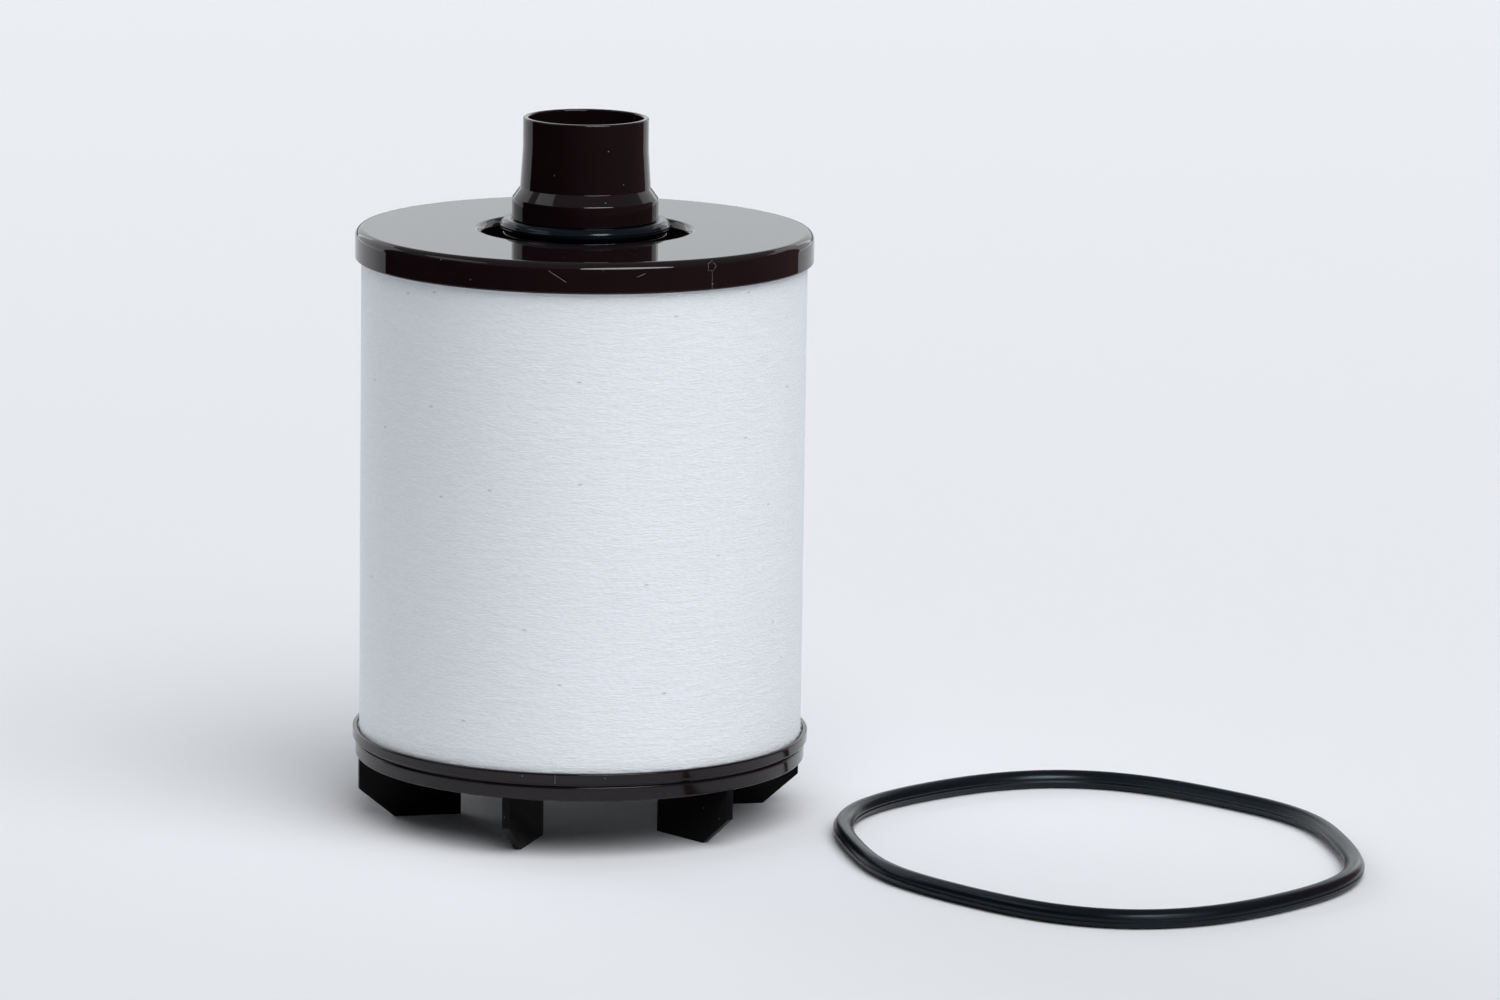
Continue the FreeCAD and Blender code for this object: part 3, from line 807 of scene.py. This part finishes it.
class FILTER_OT_bottom_cup(bpy.types.Operator):
    """Add the bottom cup: floor, rim, groove and the ring that centres the tube"""

    bl_idname = "filter_element.bottom_cup"
    bl_label = "Bottom Cup"

    def execute(self, context):
        size = sizes_of("filter_cap")
        foot = low("bottom_cup")
        floor = foot + size.cup_floor
        rim_top = foot + size.cup_rim
        outside = size.cap_radius + size.cup_bead
        inside = size.cap_radius - size.cup_wall
        ring_inside = size.tube_ring_radius - size.tube_ring_wall
        ring_top = high("bottom_cup")
        groove_foot = foot + size.groove_height
        groove_top = groove_foot + size.groove_height
        groove_radius = size.base_radius - size.groove_depth
        fine = 0.1 * MM
        profile = rounded(
            [
                (size.base_radius, foot, 0.3 * fine),
                (size.base_radius, groove_foot, 3.9 * fine),
                (groove_radius, groove_foot, 0),
                (groove_radius, groove_top, 0),
                (outside, groove_top, 3.2 * fine),
                (outside, rim_top, 3 * fine),
                (inside, rim_top, 2 * fine),
                (inside, floor, fine),
                (size.tube_ring_radius, floor, fine),
                (size.tube_ring_radius, ring_top, fine),
                (ring_inside, ring_top, fine),
                (ring_inside, floor, fine),
                (0, floor, 0),
                (0, foot, 0),
            ]
        )
        cup = turned("bottom_cup_moulding", profile, size.steps)
        rgb = sizes_of("filter_colours").base_nylon
        nylon = moulded_nylon("moulded_nylon_satin", rgb, roughness=0.1, waviness=0.003 * MM)
        finish_piece(cup, nylon, "filter", "cap_plastic", "bottom_cup")
        return {"FINISHED"}


class FILTER_OT_finned_base(bpy.types.Operator):
    """Add the base plate and its six fins, in one moulding"""

    bl_idname = "filter_element.finned_base"
    bl_label = "Finned Base"

    def execute(self, context):
        size = sizes_of("filter_cap")
        top = high("finned_base")
        foot = size.fin_height
        fine = 0.15 * MM
        profile = rounded(
            [
                (size.base_radius, foot, 2 * fine),
                (size.base_radius, top, 0.2 * fine),
                (0, top, 0),
                (0, foot, 0),
            ]
        )
        base = turned("finned_base_moulding", profile, size.steps)
        x, y, _ = MOUNTS["fin_foot"]["pos_m"]
        first_turn = math.atan2(y, x)
        fin = self.new_fin(size, foot)
        for number in range(6):
            self.join_fin(base, fin, first_turn + number * math.tau / 6)
        bpy.data.objects.remove(fin)
        nylon = bpy.data.materials["moulded_nylon_satin"]
        finish_piece(base, nylon, "filter", "base_plastic", "finned_base")
        self.dull_and_shade_fins(base, foot - fine)
        return {"FINISHED"}

    @staticmethod
    def dull_and_shade_fins(base, height):
        """Give what is below this height the duller finish of the mould's unpolished slots, and a
        colour darkened by painted shade.
        """
        rgb = sizes_of("filter_colours").fin_nylon_painted_shade
        # its near-black colour is painted shade, standing for the shaded floor under the base; its
        # low shine is the duller finish
        dull = moulded_nylon(
            "moulded_nylon_dull_painted_shade", rgb, roughness=0.35, waviness=0.003 * MM, shine=0.08
        )
        base.data.materials.append(dull)
        for face in base.data.polygons:
            if face.center.z < height:
                face.material_index = 1

    @staticmethod
    def new_fin(size, foot):
        """One fin along +X: its outline, thickened, with fine rounded edges. Its top is sunk in
        the plate, so that the two join cleanly."""
        buried = foot + 0.8 * MM
        outline = [
            (size.fin_inner, 0),
            (size.fin_foot, 0),
            (size.fin_outer, size.fin_corner),
            (size.fin_outer, buried),
            (size.fin_inner, buried),
        ]
        side = -size.fin_thickness / 2
        fin = draw_line("fin", [(x, side, z) for x, z in outline])
        bpy.ops.mesh.select_all(action="SELECT")
        bpy.ops.mesh.remove_doubles(threshold=WELD)
        bpy.ops.mesh.edge_face_add()
        bpy.ops.mesh.extrude_region_move(
            TRANSFORM_OT_translate={"value": (0, size.fin_thickness, 0)}
        )
        close_mesh()
        bevel = fin.modifiers.new("edges", "BEVEL")
        bevel.width = size.fin_edge
        bevel.segments = 3
        bpy.ops.object.modifier_apply(modifier=bevel.name)
        return fin

    @staticmethod
    def join_fin(base, fin, turn):
        copy = fin.copy()
        copy.data = fin.data.copy()
        copy.data.transform(Matrix.Rotation(turn, 4, "Z"))
        bpy.context.collection.objects.link(copy)
        union = base.modifiers.new("fin", "BOOLEAN")
        union.operation = "UNION"
        union.solver = "EXACT"
        union.object = copy
        pick(base)
        bpy.ops.object.modifier_apply(modifier=union.name)
        bpy.data.objects.remove(copy)


class FILTER_OT_housing_seal(bpy.types.Operator):
    """Add the loose rubber ring that lies beside the element"""

    bl_idname = "filter_element.housing_seal"
    bl_label = "Housing Seal"

    # what bends it out of round: waves round the ring, their height as a share of its radius, and
    # the direction of a crest in degrees
    WAVES = ((2, 0.0990, -72.2), (3, 0.0084, 33.0), (4, 0.0147, 1.0), (6, 0.0164, -27.0))

    def execute(self, context):
        lowest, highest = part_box("housing_seal")
        joint = MOUNTS["housing_joint"]["pos_m"]
        section = (highest[2] - lowest[2]) / 2
        size = sizes_of("filter_seal")
        flash = sizes_of("filter_pipe").flash
        profile = ring_section(section, size.mean_radius, section, flash)
        ring = turned("housing_seal_rubber", profile, AROUND)
        for vertex in ring.data.vertices:
            self.lay(vertex, size, joint, section)
        rgb = sizes_of("filter_colours").rubber
        rubber = nitrile_rubber("nitrile_rubber_dry", rgb, roughness=0.25)
        finish_piece(ring, rubber, "housing_seal", "seal_rubber", "housing_seal")
        return {"FINISHED"}

    def lay(self, vertex, size, centre, centre_height):
        """Move a point of the round ring to where it is on the ring as it lies."""
        mean_radius = size.mean_radius
        x, y, z = vertex.co
        angle = math.atan2(y, x)
        share = 1.0
        slope = 0.0
        for waves, height, crest in self.WAVES:
            turn = waves * (angle - math.radians(crest))
            share += height * math.cos(turn)
            slope -= height * waves * math.sin(turn)
        outwards = math.hypot(x, y) - mean_radius
        roll = -size.roll * max(0.0, -math.sin(angle))
        section = Matrix.Rotation(roll, 2) @ Vector((outwards, z - centre_height))
        outwards, z = section.x, section.y + centre_height
        radial = Vector((math.cos(angle), math.sin(angle)))
        sideways = Vector((-radial.y, radial.x))
        normal = (radial * share - sideways * slope).normalized()
        place = radial * (mean_radius * share) + normal * outwards
        vertex.co = (centre[0] + place.x, centre[1] + place.y, z)


class FILTER_OT_inner_pieces(bpy.types.Operator):
    """Give the pieces inside the element their own materials"""

    bl_idname = "filter_element.inner_pieces"
    bl_label = "Inner Pieces"

    def execute(self, context):
        colours = sizes_of("filter_colours")
        # colour, roughness and grain in millimetres
        black = plain_moulding("moulded_nylon_black", colours.base_nylon, 0.4, 0.8)
        paper = plain_moulding("filter_paper", colours.paper, 0.9, 0.3)
        mesh = plain_moulding("woven_plastic_mesh", linear("D8DCDC"), 0.5, 0.6)
        steel = plain_moulding("tinned_steel", linear("C4C4BE"), 0.3, 0.5, metallic=1.0)
        melt = plain_moulding("hot_melt_adhesive", linear("E8DDB8"), 0.35, 2.0)
        potting = plain_moulding("cast_polyurethane", colours.adhesive, 0.5, 3.0)
        finishes = (
            (black, "centre_tube", "sleeve_cage"),
            (paper, "pleated_media"),
            (mesh, "media_support_mesh"),
            (steel, "pleat_seam_clip"),
            (melt, "spacer_band_lower", "spacer_band_middle", "spacer_band_upper"),
            (potting, "upper_potting", "lower_potting"),
        )
        for material, *nodes in finishes:
            for node in nodes:
                piece = frame["nodes"][node]
                piece.data.materials.clear()
                piece.data.materials.append(material)
        return {"FINISHED"}


# ------------------------------------------------------------------ stage


class FILTER_OT_stage(bpy.types.Operator):
    """Add the pale floor, the soft lights and the camera"""

    bl_idname = "filter_element.stage"
    bl_label = "Stage"

    FLOOR_RADIUS = 6.0  # metres, which is past what the camera sees
    CAMERA_PLACE = (0.03088, -1.33943, 0.31178)
    CAMERA_PITCH = 10.697  # degrees below level
    CAMERA_ROLL = 0.828  # degrees
    LENS = 177.73  # millimetres, on a sensor 36 mm wide

    def execute(self, context):
        self.add_floor()
        self.add_world(context.scene)
        self.add_lights()
        self.add_cards()
        self.add_camera(context.scene)
        context.scene.view_settings.view_transform = "Standard"
        return {"FINISHED"}

    def add_floor(self):
        bpy.ops.object.select_all(action="DESELECT")
        bpy.ops.mesh.primitive_circle_add(
            vertices=64, radius=self.FLOOR_RADIUS, fill_type="NGON"
        )
        floor = bpy.context.object
        floor.name = "studio_floor"
        material, _, shader, _ = new_material("painted_board")
        shader.inputs["Base Color"].default_value = with_alpha(sizes_of("filter_colours").floor)
        shader.inputs["Roughness"].default_value = 0.6
        shader.inputs["Specular IOR Level"].default_value = 0.0
        floor.data.materials.append(material)

    @staticmethod
    def add_world(scene):
        world = bpy.data.worlds.new("studio")
        world.use_nodes = True
        background = world.node_tree.nodes["Background"]
        background.inputs["Color"].default_value = with_alpha(linear("F2F4F8"))
        background.inputs["Strength"].default_value = 0.25
        scene.world = world

    def add_lights(self):
        # azimuth, elevation, width and energy
        self.add_sky_light("key", 30.5, 55, 60, 2.5)
        self.add_sky_light("rim", -137, 7.5, 50, 2.0)
        # azimuth, elevation, distance, size and energy
        back_panel = self.add_panel("back_panel", 180, 15.8, 3.12, (3.0, 1.1), 8.8)
        back_panel.data.color = (0.94, 0.98, 1)
        # four more that only the gloss shows, because the two sky lights are hidden from it
        windows = [
            self.add_panel("front_window", 24, 33, 1.5, (1.15, 0.85), 26),
            self.add_panel("side_window", -82, 47, 1.5, (0.9, 0.45), 1.1),
            self.add_panel("left_wing", -137, 15, 1.5, (1.1, 1.2), 3.2),
            self.add_panel("right_wing", 140, 15, 1.5, (1.0, 1.2), 2.8),
        ]
        for window in windows:
            window.visible_diffuse = False
        for window in windows[:2]:
            window.data.shape = "ELLIPSE"

    @staticmethod
    def add_lamp(light, azimuth, elevation, distance=0.0):
        """Put up a light that faces the foot of the element, at an azimuth from the front to the
        right and an elevation, both in degrees."""
        around = math.radians(azimuth)
        up = math.radians(elevation)
        towards = Vector(
            (math.cos(up) * math.sin(around), -math.cos(up) * math.cos(around), math.sin(up))
        )
        lamp = bpy.data.objects.new(light.name, light)
        lamp.location = towards * distance
        lamp.rotation_euler = towards.to_track_quat("Z", "Y").to_euler()
        bpy.context.collection.objects.link(lamp)
        return lamp

    def add_sky_light(self, name, azimuth, elevation, width, energy):
        """A wide light from far off, hidden from the gloss. Its width is in degrees."""
        light = bpy.data.lights.new(name, "SUN")
        light.energy = energy
        light.angle = math.radians(width)
        self.add_lamp(light, azimuth, elevation).visible_glossy = False

    def add_panel(self, name, azimuth, elevation, distance, size, energy):
        """A flat soft light."""
        panel = bpy.data.lights.new(name, "AREA")
        panel.shape = "RECTANGLE"
        panel.size, panel.size_y = size
        panel.energy = energy
        return self.add_lamp(panel, azimuth, elevation, distance)

    def add_cards(self):
        """A low black card round the front for the gloss, and a black board at the left that
        takes some light off the sleeve's side. The camera sees neither."""
        radius = 430 * MM
        first, last, steps = -112.4, 131.5, 64  # azimuths of its two ends, and its faces
        azimuths = [first + (last - first) * step / steps for step in range(steps + 1)]
        arc = [on_wall(radius, azimuth, 0) for azimuth in azimuths]
        card = self.upright_card("front_card", arc, 300 * MM)
        card.visible_diffuse = False
        material, tree, shader, place = new_material("black_card")
        shader.inputs["Base Color"].default_value = (0, 0, 0, 1)
        shader.inputs["Specular IOR Level"].default_value = 0.0
        # it glows a dim brown towards its right end, painted light as from a room beyond it, seen
        # only as a reflection in the gloss
        parts = add_node(tree, "SeparateXYZ", {"Vector": place})
        side = add_node(
            tree,
            "MapRange",
            {"Value": parts.outputs["X"], "From Min": -0.6 * radius, "From Max": 0.9 * radius},
        )
        painted_glow = add_node(
            tree,
            "Mix",
            {"Factor": side.outputs["Result"], "A": (0, 0, 0, 1), "B": (0.16, 0.09, 0.1, 1)},
            data_type="RGBA",
        )
        tree.links.new(painted_glow.outputs["Result"], shader.inputs["Emission Color"])
        shader.inputs["Emission Strength"].default_value = 1.0
        card.data.materials.append(material)

        front_end, back_end = (-550 * MM, -600 * MM, 0), (-550 * MM, 350 * MM, 0)
        board = self.upright_card("side_board", [front_end, back_end], 600 * MM)
        board.visible_glossy = False
        velvet, _, shader, _ = new_material("black_velvet")
        shader.inputs["Base Color"].default_value = (0, 0, 0, 1)
        board.data.materials.append(velvet)

    @staticmethod
    def upright_card(name, points, height):
        """A thin upright card on a line of points, hidden from the camera, that casts no shadow."""
        card = draw_line(name, points, closed=False)
        bpy.ops.mesh.select_all(action="SELECT")
        bpy.ops.mesh.extrude_region_move(TRANSFORM_OT_translate={"value": (0, 0, height)})
        bpy.ops.object.mode_set(mode="OBJECT")
        card.visible_camera = False
        card.visible_shadow = False
        card.visible_transmission = False
        return card

    def add_camera(self, scene):
        camera = bpy.data.cameras.new("camera")
        camera.lens = self.LENS
        camera.sensor_width = 36
        camera.clip_start = 0.01
        camera.clip_end = 50
        stand = bpy.data.objects.new("camera", camera)
        pitch = Matrix.Rotation(math.radians(90 - self.CAMERA_PITCH), 4, "X")
        roll = Matrix.Rotation(math.radians(self.CAMERA_ROLL), 4, "Z")
        stand.matrix_world = Matrix.Translation(self.CAMERA_PLACE) @ pitch @ roll
        bpy.context.collection.objects.link(stand)
        scene.camera = stand


# ------------------------------------------------------------------ panel and registration

PIECES = (
    FILTER_OT_top_cap,
    FILTER_OT_outlet_pipe,
    FILTER_OT_outlet_o_ring,
    FILTER_OT_fleece_sleeve,
    FILTER_OT_fleece_fibres,
    FILTER_OT_moulding_scars,
    FILTER_OT_bottom_cup,
    FILTER_OT_finned_base,
    FILTER_OT_housing_seal,
    FILTER_OT_inner_pieces,
    FILTER_OT_stage,
)

GROUPS = {
    "filter_cap": FilterCapSizes,
    "filter_pipe": FilterPipeSizes,
    "filter_sleeve": FilterSleeveSizes,
    "filter_seal": FilterSealSizes,
    "filter_colours": FilterColours,
}


class FILTER_PT_panel(bpy.types.Panel):
    """Sizes, colours and pieces of the filter element"""

    bl_idname = "FILTER_PT_panel"
    bl_label = "Filter Element"
    bl_space_type = "VIEW_3D"
    bl_region_type = "UI"
    bl_category = "Filter"

    def draw(self, context):
        for group in GROUPS:
            box = self.layout.box()
            settings = getattr(context.scene, group)
            for name in settings.__annotations__:
                box.prop(settings, name)
        for piece in PIECES:
            self.layout.operator(piece.bl_idname)


def register():
    for cls in (*GROUPS.values(), *PIECES, FILTER_PT_panel):
        bpy.utils.register_class(cls)
    for name, group in GROUPS.items():
        setattr(bpy.types.Scene, name, PointerProperty(type=group))


def unregister():
    for name in GROUPS:
        delattr(bpy.types.Scene, name)
    for cls in (FILTER_PT_panel, *PIECES, *GROUPS.values()):
        bpy.utils.unregister_class(cls)


def call_operator(idname):
    """Run one of the operators above by its bl_idname."""
    category, name = idname.split(".")
    getattr(getattr(bpy.ops, category), name)()


def main():
    register()
    for piece in PIECES:
        call_operator(piece.bl_idname)


if __name__ == "__main__":
    main()
